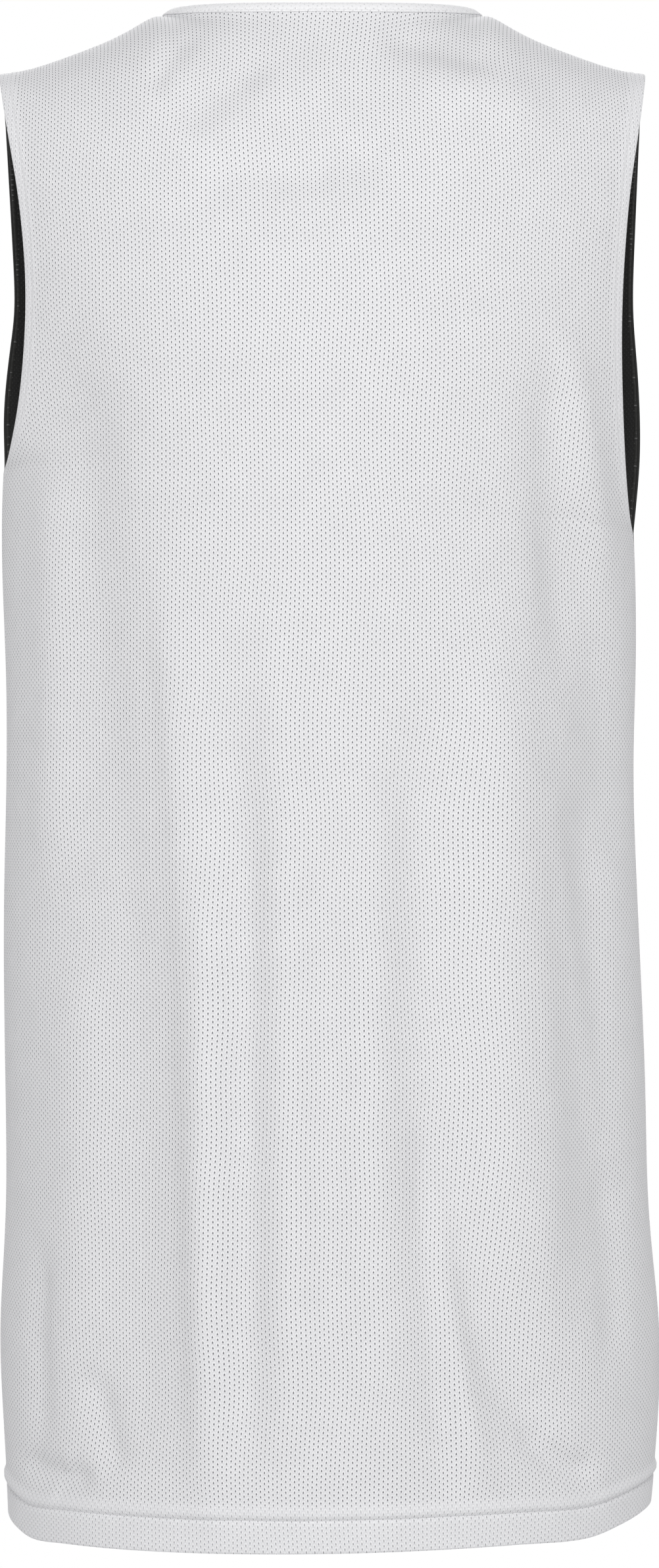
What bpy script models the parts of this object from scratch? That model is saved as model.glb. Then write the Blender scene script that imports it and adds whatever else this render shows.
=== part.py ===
"""A sleeveless basketball jersey of two mesh layers, filled out as on a wearer who isn't there.

The wearer faces -Y and stands along +Z, so +X is the wearer's left. The origin is on the centre line,
level with the high points of the shoulders. Lengths are in metres. Each cut-and-sewn piece is one
object: the back and the front of the outer layer, the same two of the inner layer, and the neck binding.
"""

import math
from collections import namedtuple

import bpy
import numpy as np

# Cloth and its seams
WALL = 0.0010  # one layer of mesh
GAP = 0.0003  # between two pieces that are sewn together
HEM_WALL = 0.0020  # the outer layer where its hem is turned up inside
BINDING_WIDTH = 0.006
BINDING_CLEAR = 0.0005  # between the binding and the inner layer, over the ridges of the shoulder seams
STRIP = 0.007  # the top edge strip of a panel, which the binding covers

# Shoulders: the ridge from the tip to the high point beside the neck
TIP_X = 0.1650
TIP_Y = -0.020
HIGH_X = 0.0780
HIGH_Y = -0.014
SEAM_SLOPE = math.radians(17)  # the cloth falls forward this much where it crosses the seam

# Neck opening
HIGH_OUT, HIGH_DOWN = 0.87, 0.50  # the way the top strip runs outward at the high points
NECK_BACK_Y = 0.055
NECK_BACK_DROP = 0.0045
NECK_FRONT_Y = -0.114
NECK_FRONT_DEPTH = 0.120

# Underarm points, left and right, and the level where each panel starts to lean to the shoulders
UNDERARM_LEFT = -0.237
UNDERARM_RIGHT = -0.270
BACK_YOKE = -0.100
FRONT_YOKE = -0.150

# Mesh cells
SHOULDER_CELLS = 7
NECK_CELLS = 14
BODY_CELLS = 7
ARMHOLE_CELLS = 5
YOKE_CELLS = 4
FINE = 8  # fine steps in a cell, on which the form and its normals are worked out
HEM_STEPS = 3  # fine steps up to the top of the turned hem
LINING_STEPS = 1  # fine steps up to the edge of the inner layer
SMOOTHING = 12  # passes along each column
ROW_SAMPLES = 40  # points of a row's curve in each fine step

# The shoulder's ridge, from the tip (share 0) to the high point beside the neck (share 1)
Ridge = namedtuple("Ridge", "share height")
RIDGES = (
    Ridge(0.00, -0.0345),
    Ridge(0.19, -0.0318),
    Ridge(0.38, -0.0262),
    Ridge(0.57, -0.0202),
    Ridge(0.76, -0.0134),
    Ridge(0.90, -0.0066),
    Ridge(1.00, 0.0002),
)
HIGH_RIDGE = RIDGES[-1].height

# Horizontal sections of the tube: half widths to the wearer's left and right, depths behind and in front
Section = namedtuple("Section", "height left right back front")
SECTIONS = (
    Section(-0.780, 0.1600, 0.1665, 0.128, 0.118),
    Section(-0.720, 0.1628, 0.1718, 0.131, 0.120),
    Section(-0.685, 0.1655, 0.1735, 0.133, 0.121),
    Section(-0.620, 0.1614, 0.1666, 0.134, 0.123),
    Section(-0.550, 0.1620, 0.1652, 0.130, 0.125),
    Section(-0.470, 0.1630, 0.1617, 0.124, 0.127),
    Section(-0.380, 0.1612, 0.1588, 0.120, 0.129),
    Section(-0.330, 0.1617, 0.1607, 0.120, 0.130),
    Section(-0.290, 0.1640, 0.1600, 0.121, 0.130),
    Section(-0.236, 0.1638, 0.1598, 0.121, 0.128),
    Section(-0.150, 0.1660, 0.1660, 0.1185, 0.119),
    Section(-0.125, 0.1660, 0.1660, 0.1125, 0.113),
    Section(-0.100, 0.1660, 0.1660, 0.1020, 0.105),
)

# Hem height, by how far round the back or the front it is from the left side seam
Hem = namedtuple("Hem", "around back front")
HEMS = (
    Hem(0.00, -0.7690, -0.7690),
    Hem(0.08, -0.7740, -0.7720),
    Hem(0.13, -0.7771, -0.7730),
    Hem(0.20, -0.7765, -0.7740),
    Hem(0.30, -0.7757, -0.7745),
    Hem(0.50, -0.7739, -0.7740),
    Hem(0.70, -0.7730, -0.7735),
    Hem(0.80, -0.7733, -0.7720),
    Hem(0.86, -0.7694, -0.7700),
    Hem(0.92, -0.7662, -0.7675),
    Hem(1.00, -0.7640, -0.7640),
)

# Armhole edges from the underarm (rise 0) to the yoke (rise 1): half widths, and depth from the side plane
Armhole = namedtuple("Armhole", "rise left right depth")
BACK_ARMHOLE = (
    Armhole(0.00, 0.1630, 0.1592, GAP / 2),
    Armhole(0.02, 0.1608, 0.1574, 0.016),
    Armhole(0.09, 0.1574, 0.1548, 0.032),
    Armhole(0.30, 0.1515, 0.1517, 0.047),
    Armhole(0.65, 0.1484, 0.1502, 0.054),
    Armhole(1.00, 0.1526, 0.1543, 0.048),
)
FRONT_ARMHOLE = (
    Armhole(0.00, 0.1630, 0.1592, GAP / 2),
    Armhole(0.03, 0.1634, 0.1600, 0.014),
    Armhole(0.14, 0.1643, 0.1620, 0.027),
    Armhole(0.38, 0.1652, 0.1648, 0.036),
    Armhole(0.68, 0.1630, 0.1640, 0.039),
    Armhole(1.00, 0.1592, 0.1607, 0.041),
)

# The largest folds: a line from its top to its bottom, in X and Z, and the height of its ridge
Fold = namedtuple("Fold", "top_x top_z low_x low_z width height")
BACK_FOLDS = (
    Fold(0.068, -0.064, 0.036, -0.036, 0.010, -0.0030),
    Fold(-0.036, -0.026, -0.088, -0.040, 0.010, -0.0030),
    Fold(0.130, -0.200, 0.128, -0.400, 0.014, 0.0030),
    Fold(0.084, -0.290, 0.072, -0.730, 0.013, -0.0040),
    Fold(0.055, -0.400, 0.055, -0.730, 0.012, 0.0030),
    Fold(0.039, -0.360, 0.038, -0.720, 0.012, -0.0030),
    Fold(-0.108, -0.205, -0.112, -0.300, 0.014, -0.0040),
    Fold(-0.131, -0.262, -0.130, -0.360, 0.012, -0.0030),
    Fold(-0.112, -0.397, -0.146, -0.600, 0.016, 0.0040),
    Fold(-0.052, -0.430, -0.092, -0.710, 0.014, -0.0040),
)
FRONT_FOLDS = (
    Fold(0.120, -0.210, 0.095, -0.420, 0.014, -0.0030),
    Fold(0.060, -0.330, 0.075, -0.700, 0.014, 0.0035),
    Fold(0.025, -0.380, 0.035, -0.730, 0.013, -0.0035),
    Fold(-0.045, -0.300, -0.030, -0.620, 0.014, -0.0030),
    Fold(-0.080, -0.420, -0.095, -0.730, 0.015, 0.0035),
    Fold(-0.118, -0.230, -0.128, -0.480, 0.014, -0.0030),
)
FOLD_FADE = 0.018  # folds die out this near to a side seam

# side is +1 behind and -1 in front, the turns are how far the cloth has leaned over at its top edge,
# easing is the smoothing passes across the yoke, where the neck's corners would crease it, and straight
# is how far the yoke leans on in line with the rows below it
Panel = namedtuple(
    "Panel",
    "side place armhole yoke squareness folds tip_turn high_turn centre_turn easing straight",
)
BACK = Panel(1, "back", BACK_ARMHOLE, BACK_YOKE, 1.90, BACK_FOLDS, 105, 105, 58, 60, 1.0)
FRONT = Panel(-1, "front", FRONT_ARMHOLE, FRONT_YOKE, 2.05, FRONT_FOLDS, 85, 75, 20, 0, 0.0)

WHITE = (0.80, 0.80, 0.81)
DARK = (0.024, 0.024, 0.023)


def clear_scene():
    for obj in list(bpy.data.objects):
        bpy.data.objects.remove(obj, do_unlink=True)


def column(table, name):
    return np.array([getattr(row, name) for row in table], float)


def smooth(at, knots, values):
    """A cubic curve through the values at the knots, each slope taken from the knots beside it."""
    slopes = np.gradient(values, knots)
    i = np.clip(np.searchsorted(knots, at) - 1, 0, len(knots) - 2)
    span = knots[i + 1] - knots[i]
    t = (at - knots[i]) / span
    return (
        (2 * t**3 - 3 * t**2 + 1) * values[i]
        + (t**3 - 2 * t**2 + t) * span * slopes[i]
        + (3 * t**2 - 2 * t**3) * values[i + 1]
        + (t**3 - t**2) * span * slopes[i + 1]
    )


def section(height, name):
    return smooth(height, column(SECTIONS, "height"), column(SECTIONS, name))


def spread(curve, count):
    """The points that divide a curve into equal lengths."""
    steps = np.linalg.norm(np.diff(curve, axis=0), axis=1)
    length = np.concatenate([[0], np.cumsum(steps)])
    at = np.linspace(0, length[-1], count + 1)
    return np.stack([np.interp(at, length, curve[:, axis]) for axis in range(3)], axis=1)


def across(panel, left, right, heights, columns):
    """One row of the tube, from an edge point (half width, depth) on the left to one on the right."""
    n = panel.squareness
    depth = section(heights(0.5), panel.place)
    edges = []
    for half_width, edge_depth in (left, right):
        sine = edge_depth / depth
        cosine = (1 - sine**n) ** (1 / n)
        edges.append((math.atan2(sine ** (n / 2), cosine ** (n / 2)), half_width / cosine))
    (left_angle, left_width), (right_angle, right_width) = edges
    angle = np.linspace(left_angle, math.pi - right_angle, columns * ROW_SAMPLES)
    around = (angle - angle[0]) / (angle[-1] - angle[0])
    cosine = np.cos(angle)
    x = np.abs(cosine) ** (2 / n) * np.where(cosine > 0, left_width, -right_width)
    y = panel.side * depth * np.sin(angle) ** (2 / n)
    return spread(np.stack([x, y, heights(around)], axis=1), columns)


def underarm(around):
    """The line across the panel at the level of the two underarm points."""
    share = around * around * (3 - 2 * around)
    return UNDERARM_LEFT + (UNDERARM_RIGHT - UNDERARM_LEFT) * share


def body_rows(panel, columns):
    """Rows from the hem up to the underarms."""
    around, hem = column(HEMS, "around"), column(HEMS, panel.place)
    rows = []
    for up in np.linspace(0, 1, BODY_CELLS * FINE + 1):

        def heights(at, up=up):
            return smooth(at, around, hem) * (1 - up) + underarm(at) * up

        left = (section(heights(0.0), "left"), GAP / 2)
        right = (section(heights(1.0), "right"), GAP / 2)
        rows.append(across(panel, left, right, heights, columns))
    return rows


def armhole_rows(panel, columns):
    """Rows from above the underarms up to the yoke, between the armhole edges."""
    knots = np.arange(len(panel.armhole), dtype=float)
    rows = []
    for at_knot in np.linspace(0, knots[-1], ARMHOLE_CELLS * FINE + 1)[1:]:
        rise, left, right, depth = (
            smooth(at_knot, knots, column(panel.armhole, name)) for name in Armhole._fields
        )

        def heights(at, rise=rise):
            return underarm(at) * (1 - rise) + panel.yoke * rise

        rows.append(across(panel, (left, depth), (right, depth), heights, columns))
    return rows


def shoulder_edge(panel, share):
    """The shoulder seam, from the tip (0) to the high point (1), and the line a strip's width below it."""
    ridge = smooth(share, column(RIDGES, "share"), column(RIDGES, "height"))
    seam_z = BACK_YOKE + (ridge - BACK_YOKE) * math.cos(SEAM_SLOPE)
    seam = np.stack(
        [
            TIP_X + (HIGH_X - TIP_X) * share,
            TIP_Y + (HIGH_Y - TIP_Y) * share + panel.side * GAP / 2,
            seam_z,
        ],
        axis=1,
    )
    straight = panel.side * np.array([0, math.cos(SEAM_SLOPE), math.sin(SEAM_SLOPE)])
    outward = np.outer(share, [HIGH_OUT, 0, -HIGH_DOWN])
    return seam, seam + STRIP * (straight + outward)


def neck_edge(panel, angle):
    """The neck edge, from the high point (angle 0) to the centre, and the line a strip's width from it."""
    side = panel.side
    cosine, sine = np.cos(angle), np.sin(angle)
    seam_z = BACK_YOKE + (HIGH_RIDGE - BACK_YOKE) * math.cos(SEAM_SLOPE)
    if side > 0:
        dip = (HIGH_RIDGE - seam_z) * np.clip(1 - sine / 0.3, 0, 1) ** 2
        y = HIGH_Y + (NECK_BACK_Y - HIGH_Y) * sine
        z = HIGH_RIDGE - NECK_BACK_DROP * sine**2 - dip
        out_y, out_z = 0.58 * sine, -0.81 * sine
    else:
        y = HIGH_Y + (NECK_FRONT_Y - HIGH_Y) * (1 - (1 - sine) ** 2.4)
        z = seam_z - NECK_FRONT_DEPTH * sine
        out_y, out_z = -0.20 * sine, -0.97 * sine
    edge = np.stack([HIGH_X * cosine, y + side * GAP / 2 * (1 - sine), z], axis=1)
    mitre = np.clip(1 - angle / math.radians(30), 0, 1) ** 2
    inset = np.stack(
        [
            HIGH_OUT * cosine,
            out_y + side * math.cos(SEAM_SLOPE) * mitre,
            out_z - HIGH_DOWN * cosine + side * math.sin(SEAM_SLOPE) * mitre,
        ],
        axis=1,
    )
    return edge, edge + STRIP * inset


def top_boundary(panel):
    """The top edge from the left tip to the right one, the line below it, and the turns of its columns."""
    shoulder = np.linspace(0, 1, SHOULDER_CELLS * FINE + 1)
    seam, seam_inset = shoulder_edge(panel, shoulder)
    half = NECK_CELLS * FINE // 2
    dense = np.linspace(0, math.pi / 2, 400)
    edge = neck_edge(panel, dense)[0]
    length = np.concatenate([[0], np.cumsum(np.linalg.norm(np.diff(edge, axis=0), axis=1))])
    angle = np.interp(np.linspace(0, length[-1], half + 1), length, dense)
    neck, neck_inset = neck_edge(panel, angle)
    to_centre = np.linspace(1, 0, half + 1)
    turns = np.concatenate(
        [
            panel.tip_turn + (panel.high_turn - panel.tip_turn) * shoulder,
            panel.centre_turn + (panel.high_turn - panel.centre_turn) * to_centre[1:] ** 2,
        ]
    )
    mirror = np.array([-1, 1, 1])
    edge, inset = np.concatenate([seam, neck[1:]]), np.concatenate([seam_inset, neck_inset[1:]])
    return (
        np.concatenate([edge, edge[-2::-1] * mirror]),
        np.concatenate([inset, inset[-2::-1] * mirror]),
        np.radians(np.concatenate([turns, turns[-2::-1]])),
    )


def yoke_rows(panel, below, base):
    """Rows that lean over from the yoke line to the top edge, then the strip along that edge."""
    edge, inset, turns = top_boundary(panel)
    rise, whole = base - below, inset - base
    in_line = np.clip(rise[:, 1] / rise[:, 2] * whole[:, 2] / whole[:, 1], 0, 1)
    straight = panel.straight * in_line * np.clip(1 - (inset[:, 0] / HIGH_X) ** 2, 0, 1)
    rows = []
    for share in np.linspace(0, 1, YOKE_CELLS * FINE + 1)[1:]:
        lift = np.sin(turns * share) / np.sin(turns)
        lean = (1 - np.cos(turns * share)) / (1 - np.cos(turns))
        lean += (lift - lean) * straight
        inward = np.sin(np.minimum(turns * share, math.pi / 2)) / np.sin(np.minimum(turns, math.pi / 2))
        rows.append(base + whole * np.stack([inward, lean, lift], axis=1))
    for share in np.linspace(0, 1, FINE + 1)[1:]:
        rows.append(inset + (edge - inset) * share)
    return rows


def normals_of(points, side):
    """Outward unit normals of a grid of rows of points."""
    along = np.gradient(points, axis=1, edge_order=2)
    up = np.gradient(points, axis=0, edge_order=2)
    normals = np.cross(along, up) * side
    return normals / np.linalg.norm(normals, axis=2, keepdims=True)


def fold_heights(panel, points):
    """How far the folds lift each point off the smooth form."""
    x, z = points[..., 0], points[..., 2]
    total = np.zeros_like(x)
    for fold in panel.folds:
        run = np.array([fold.low_x - fold.top_x, fold.low_z - fold.top_z])
        length = np.hypot(*run)
        along = ((x - fold.top_x) * run[0] + (z - fold.top_z) * run[1]) / length**2
        aside = ((x - fold.top_x) * run[1] - (z - fold.top_z) * run[0]) / length
        ends = np.clip(np.minimum(along, 1 - along) * 4 + 0.5, 0, 1)
        total += fold.height * np.exp(-((aside / fold.width) ** 2)) * ends**2 * (3 - 2 * ends)
    steps = np.linalg.norm(np.diff(points, axis=1), axis=2)
    from_left = np.concatenate([np.zeros((len(points), 1)), np.cumsum(steps, axis=1)], axis=1)
    from_edge = np.minimum(from_left, from_left[:, -1:] - from_left)
    return total * (1 - np.exp(-((from_edge / FOLD_FADE) ** 2)))


def form_of(panel):
    """The fine grid of the panel's outer surface, hem first, and its normals."""
    columns = (2 * SHOULDER_CELLS + NECK_CELLS) * FINE
    rows = body_rows(panel, columns) + armhole_rows(panel, columns)
    yoke = len(rows)
    points = np.array(rows + yoke_rows(panel, rows[-2], rows[-1]))
    low, high = 2, len(points) - 1 - FINE
    for _ in range(SMOOTHING):
        middle = points[low:high]
        points[low:high] = (points[low - 1 : high - 1] + 2 * middle + points[low + 1 : high + 1]) / 4
    share = np.clip(np.linspace(0, 4, high - yoke), 0, 1)[:, None, None]
    for _ in range(panel.easing):
        middle = points[yoke:high, 1:-1]
        even = (points[yoke:high, :-2] + 2 * middle + points[yoke:high, 2:]) / 4
        points[yoke:high, 1:-1] = middle + (even - middle) * share
    points = points + normals_of(points, panel.side) * fold_heights(panel, points)[..., None]
    normals = normals_of(points, panel.side)
    # Both panels of a seam share its normal, so that their inner layers stay as far apart as their edges.
    body = BODY_CELLS * FINE
    for edge in (0, -1):
        normals[: body + 1, edge, 1] = 0
    shoulder = SHOULDER_CELLS * FINE
    forward = np.array([0, -math.cos(SEAM_SLOPE), -math.sin(SEAM_SLOPE)])
    seam = (points[-1, shoulder] - points[-1, 0]) * [1, 0, 1]
    upward = np.cross(forward, seam)
    normals[-1, : shoulder + 1] = upward * np.sign(upward[2])
    normals[-1, -shoulder - 1 :] = upward * np.sign(upward[2]) * [-1, 1, 1]
    return points, normals / np.linalg.norm(normals, axis=2, keepdims=True)


def material(name, colour, roughness):
    made = bpy.data.materials.new(name)
    made.use_nodes = True
    made.diffuse_color = (*colour, 1)
    shader = made.node_tree.nodes["Principled BSDF"]
    shader.inputs["Base Color"].default_value = (*colour, 1)
    shader.inputs["Roughness"].default_value = roughness
    shader.inputs["Metallic"].default_value = 0
    return made


def add_object(name, points, faces, finish):
    mesh = bpy.data.meshes.new(name)
    mesh.from_pydata([tuple(p) for p in points], [], faces)
    mesh.validate()
    mesh.shade_smooth()
    mesh.set_sharp_from_angle(angle=math.radians(40))
    mesh.materials.append(finish)
    obj = bpy.data.objects.new(name, mesh)
    bpy.context.collection.objects.link(obj)
    return obj


def wall_faces(rows, columns, side):
    """Triangles of a wall whose outer grid of points comes first and its inner grid second.

    Both grids split their cells along the same diagonal, so that layers that lie on each other stay
    clear, and the right half mirrors the left one.
    """
    inner = rows * columns
    skin = []
    for r in range(rows - 1):
        for c in range(columns - 1):
            a, b = r * columns + c, r * columns + c + 1
            d, e = a + columns, b + columns
            skin += [(a, d, e), (a, e, b)] if 2 * c < columns - 1 else [(a, d, b), (b, d, e)]
    rim = list(range(columns))
    rim += [r * columns + columns - 1 for r in range(1, rows)]
    rim += [(rows - 1) * columns + c for c in range(columns - 2, -1, -1)]
    rim += [r * columns for r in range(rows - 2, 0, -1)]
    faces = skin + [(c + inner, b + inner, a + inner) for a, b, c in skin]
    faces += [(a, b, b + inner, a + inner) for a, b in zip(rim, rim[1:] + rim[:1])]
    return faces if side < 0 else [face[::-1] for face in faces]


def add_wall(name, grids, side, finish):
    """A panel of cloth from its outer and its inner grid of points."""
    outer, inner = grids
    rows, columns = outer.shape[:2]
    points = np.concatenate([outer.reshape(-1, 3), inner.reshape(-1, 3)])
    return add_object(name, points, wall_faces(rows, columns, side), finish)


def layers_of(panel):
    """The outer layer and the inner layer of a panel, each as its outer and inner grid of points."""
    points, normals = form_of(panel)
    cells = list(range(FINE, len(points), FINE))

    def grid(first, hem_depth, depth):
        """Points from the first fine row up, that far under the outer surface at the hem and above it."""
        rows = [first, HEM_STEPS] + cells
        depths = np.where(np.array(rows) <= HEM_STEPS, hem_depth, depth)[:, None, None]
        return points[rows][:, ::FINE] - normals[rows][:, ::FINE] * depths

    outer = grid(0, 0, 0), grid(0, HEM_WALL, WALL)
    lining = (
        grid(LINING_STEPS, HEM_WALL + GAP, WALL + GAP),
        grid(LINING_STEPS, HEM_WALL + GAP + WALL, WALL + GAP + WALL),
    )
    return outer, lining


def binding_side(outer, lining):
    """The top edge and the line below it, on the outside and on the inside, for the neck's columns."""
    neck = slice(SHOULDER_CELLS, SHOULDER_CELLS + NECK_CELLS + 1)
    return [grid[row, neck] for grid in (outer[0], lining[1]) for row in (-1, -2)]


def add_binding(back, front, finish):
    """A strip folded over the neck edge, both legs lying on the cloth."""
    ring = [
        np.concatenate([behind, ahead[::-1]])
        for behind, ahead in zip(binding_side(*back), binding_side(*front))
    ]
    out_top, out_low, in_top, in_low = ring
    through = out_top - in_top
    through /= np.linalg.norm(through, axis=1, keepdims=True)
    along = np.roll(out_top, -1, axis=0) - np.roll(out_top, 1, axis=0)
    inward = np.cross(along, through)
    inward /= np.linalg.norm(inward, axis=1, keepdims=True)
    inward *= np.sign(np.sum(inward * -out_top * [1, 1, 0], axis=1).mean())
    reach = BINDING_WIDTH / STRIP
    out_low = out_top + (out_low - out_top) * reach
    in_low = in_top + (in_low - in_top) * reach
    outline = [
        out_low + through * (GAP + WALL),
        out_top + through * (GAP + WALL) + inward * (GAP + WALL),
        in_top - through * (BINDING_CLEAR + WALL) + inward * (GAP + WALL),
        in_low - through * (BINDING_CLEAR + WALL),
        in_low - through * BINDING_CLEAR,
        in_top - through * BINDING_CLEAR + inward * GAP,
        out_top + through * GAP + inward * GAP,
        out_low + through * GAP,
    ]
    stations, corners = len(out_top), len(outline)
    points = np.array(outline).transpose(1, 0, 2).reshape(-1, 3)
    faces = []
    for s in range(stations):
        # The legs split their cells along the same diagonals as the cloth under them.
        rising = s % (NECK_CELLS + 1) < NECK_CELLS / 2
        for c in range(corners):
            after = (s + 1) % stations * corners
            low, high = s * corners + c, s * corners + (c + 1) % corners
            low_after, high_after = after + c, after + (c + 1) % corners
            if rising == (c % 4 < 2):
                faces += [(low, low_after, high_after), (low, high_after, high)]
            else:
                faces += [(low, low_after, high), (high, low_after, high_after)]
    return add_object("neck_band", points, faces, finish)


def main():
    clear_scene()
    back, back_inner = layers_of(BACK)
    front, front_inner = layers_of(FRONT)
    add_wall("back_panel", back, BACK.side, material("back_mesh", WHITE, 0.75))
    add_wall("front_panel", front, FRONT.side, material("front_mesh", WHITE, 0.75))
    add_wall("back_lining", back_inner, BACK.side, material("back_dark_mesh", DARK, 0.8))
    add_wall("front_lining", front_inner, FRONT.side, material("front_dark_mesh", DARK, 0.8))
    add_binding((back, back_inner), (front, front_inner), material("binding_mesh", WHITE, 0.75))


main()
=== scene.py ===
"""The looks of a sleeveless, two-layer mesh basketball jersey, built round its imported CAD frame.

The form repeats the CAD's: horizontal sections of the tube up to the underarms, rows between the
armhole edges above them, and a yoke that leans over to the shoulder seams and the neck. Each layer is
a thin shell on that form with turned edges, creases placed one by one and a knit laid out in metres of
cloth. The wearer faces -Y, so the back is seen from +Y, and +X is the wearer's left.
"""

import math
from collections import namedtuple

import bpy
import numpy as np
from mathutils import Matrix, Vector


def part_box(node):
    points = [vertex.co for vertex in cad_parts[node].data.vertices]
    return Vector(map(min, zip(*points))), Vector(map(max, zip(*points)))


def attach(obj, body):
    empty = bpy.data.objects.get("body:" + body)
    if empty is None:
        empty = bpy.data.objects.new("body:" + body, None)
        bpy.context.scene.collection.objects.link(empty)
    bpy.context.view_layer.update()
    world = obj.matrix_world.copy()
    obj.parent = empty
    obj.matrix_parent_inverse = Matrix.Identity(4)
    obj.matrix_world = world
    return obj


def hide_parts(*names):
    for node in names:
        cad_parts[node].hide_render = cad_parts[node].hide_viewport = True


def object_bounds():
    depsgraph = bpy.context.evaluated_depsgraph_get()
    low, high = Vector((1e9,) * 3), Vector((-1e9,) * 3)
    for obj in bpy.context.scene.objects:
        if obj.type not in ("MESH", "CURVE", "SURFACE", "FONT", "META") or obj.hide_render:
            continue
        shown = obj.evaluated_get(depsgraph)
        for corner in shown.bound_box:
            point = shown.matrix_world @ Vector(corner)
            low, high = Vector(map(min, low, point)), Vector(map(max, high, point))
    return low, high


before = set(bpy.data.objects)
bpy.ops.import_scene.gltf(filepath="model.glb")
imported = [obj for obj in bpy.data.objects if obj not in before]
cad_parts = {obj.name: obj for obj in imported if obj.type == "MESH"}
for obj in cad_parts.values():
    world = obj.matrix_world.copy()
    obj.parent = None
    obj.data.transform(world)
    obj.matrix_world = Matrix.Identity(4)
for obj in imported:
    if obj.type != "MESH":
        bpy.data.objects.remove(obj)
CAD_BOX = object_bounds()

MM = 0.001

# ---------------- the CAD's sizes, repeated in metres

WALL = 0.0010
GAP = 0.0003
HEM_WALL = 0.0020
STRIP = 0.007  # the top edge strip of a panel, which the binding covers

TIP_X, TIP_Y = 0.1650, -0.020
HIGH_X, HIGH_Y = 0.0780, -0.014
SEAM_SLOPE = math.radians(17)
HIGH_OUT, HIGH_DOWN = 0.87, 0.50  # the way the top strip runs outward at the high points
MITRE = math.radians(30)  # how far round the neck the strip turns from that way to its own
NECK_BACK_Y, NECK_BACK_DROP = 0.055, 0.0045
NECK_BACK_OUT, NECK_BACK_DOWN = 0.58, 0.81  # the way the strip runs at the centre of the back
NECK_DIP = 0.3  # share of the back neck over which it rises from the shoulder seam
NECK_FRONT_Y, NECK_FRONT_DEPTH = -0.114, 0.120
NECK_FRONT_OUT, NECK_FRONT_DOWN = 0.20, 0.97
NECK_FRONT_FULLNESS = 2.4
UNDERARM_LEFT, UNDERARM_RIGHT = -0.237, -0.270
BACK_YOKE, FRONT_YOKE = -0.100, -0.150

# Fine steps of the form: up the body, up the armholes, over the yoke, through the top strip; and across
BODY_STEPS, ARMHOLE_STEPS, YOKE_STEPS, STRIP_STEPS = 56, 40, 32, 8
SHOULDER_STEPS, NECK_STEPS = 56, 112
ACROSS = 2 * SHOULDER_STEPS + NECK_STEPS
BODY_TOP = BODY_STEPS
ARMHOLE_TOP = BODY_TOP + ARMHOLE_STEPS
YOKE_TOP = ARMHOLE_TOP + YOKE_STEPS
TOP = YOKE_TOP + STRIP_STEPS
ROW_SAMPLES = 40  # points of a row's curve in each fine step
SMOOTHING = 12  # passes along each column
EASING_RAMP = 4  # the yoke's easing is full above one part in this many of its height
LEAST_RISE = 0.4  # share of a step between rows that always counts as cloth going up

# The shoulder's ridge, from the tip (share 0) to the high point beside the neck (share 1)
Ridge = namedtuple("Ridge", "share height")
RIDGES = (
    Ridge(0.00, -0.0345),
    Ridge(0.19, -0.0318),
    Ridge(0.38, -0.0262),
    Ridge(0.57, -0.0202),
    Ridge(0.76, -0.0134),
    Ridge(0.90, -0.0066),
    Ridge(1.00, 0.0002),
)
HIGH_RIDGE = RIDGES[-1].height

# Horizontal sections of the tube: half widths to the wearer's left and right, depths behind and in front
Section = namedtuple("Section", "height left right back front")
SECTIONS = (
    Section(-0.780, 0.1600, 0.1665, 0.128, 0.118),
    Section(-0.720, 0.1628, 0.1718, 0.131, 0.120),
    Section(-0.685, 0.1655, 0.1735, 0.133, 0.121),
    Section(-0.620, 0.1614, 0.1666, 0.134, 0.123),
    Section(-0.550, 0.1620, 0.1652, 0.130, 0.125),
    Section(-0.470, 0.1630, 0.1617, 0.124, 0.127),
    Section(-0.380, 0.1612, 0.1588, 0.120, 0.129),
    Section(-0.330, 0.1617, 0.1607, 0.120, 0.130),
    Section(-0.290, 0.1640, 0.1600, 0.121, 0.130),
    Section(-0.236, 0.1638, 0.1598, 0.121, 0.128),
    Section(-0.150, 0.1660, 0.1660, 0.1185, 0.119),
    Section(-0.125, 0.1660, 0.1660, 0.1125, 0.113),
    Section(-0.100, 0.1660, 0.1660, 0.1020, 0.105),
)

# Hem height, by how far round the back or the front it is from the left side seam
Hem = namedtuple("Hem", "around back front")
HEMS = (
    Hem(0.00, -0.7690, -0.7690),
    Hem(0.08, -0.7740, -0.7720),
    Hem(0.13, -0.7771, -0.7730),
    Hem(0.20, -0.7765, -0.7740),
    Hem(0.30, -0.7757, -0.7745),
    Hem(0.50, -0.7739, -0.7740),
    Hem(0.70, -0.7730, -0.7735),
    Hem(0.80, -0.7733, -0.7720),
    Hem(0.86, -0.7694, -0.7700),
    Hem(0.92, -0.7662, -0.7675),
    Hem(1.00, -0.7640, -0.7640),
)

# Armhole edges from the underarm (rise 0) to the yoke (rise 1): half widths, depth from the side plane
Armhole = namedtuple("Armhole", "rise left right depth")
BACK_ARMHOLE = (
    Armhole(0.00, 0.1630, 0.1592, GAP / 2),
    Armhole(0.02, 0.1608, 0.1574, 0.016),
    Armhole(0.09, 0.1574, 0.1548, 0.032),
    Armhole(0.30, 0.1515, 0.1517, 0.047),
    Armhole(0.65, 0.1484, 0.1502, 0.054),
    Armhole(1.00, 0.1526, 0.1543, 0.048),
)
FRONT_ARMHOLE = (
    Armhole(0.00, 0.1630, 0.1592, GAP / 2),
    Armhole(0.03, 0.1634, 0.1600, 0.014),
    Armhole(0.14, 0.1643, 0.1620, 0.027),
    Armhole(0.38, 0.1652, 0.1648, 0.036),
    Armhole(0.68, 0.1630, 0.1640, 0.039),
    Armhole(1.00, 0.1592, 0.1607, 0.041),
)

# ---------------- creases and details

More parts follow.
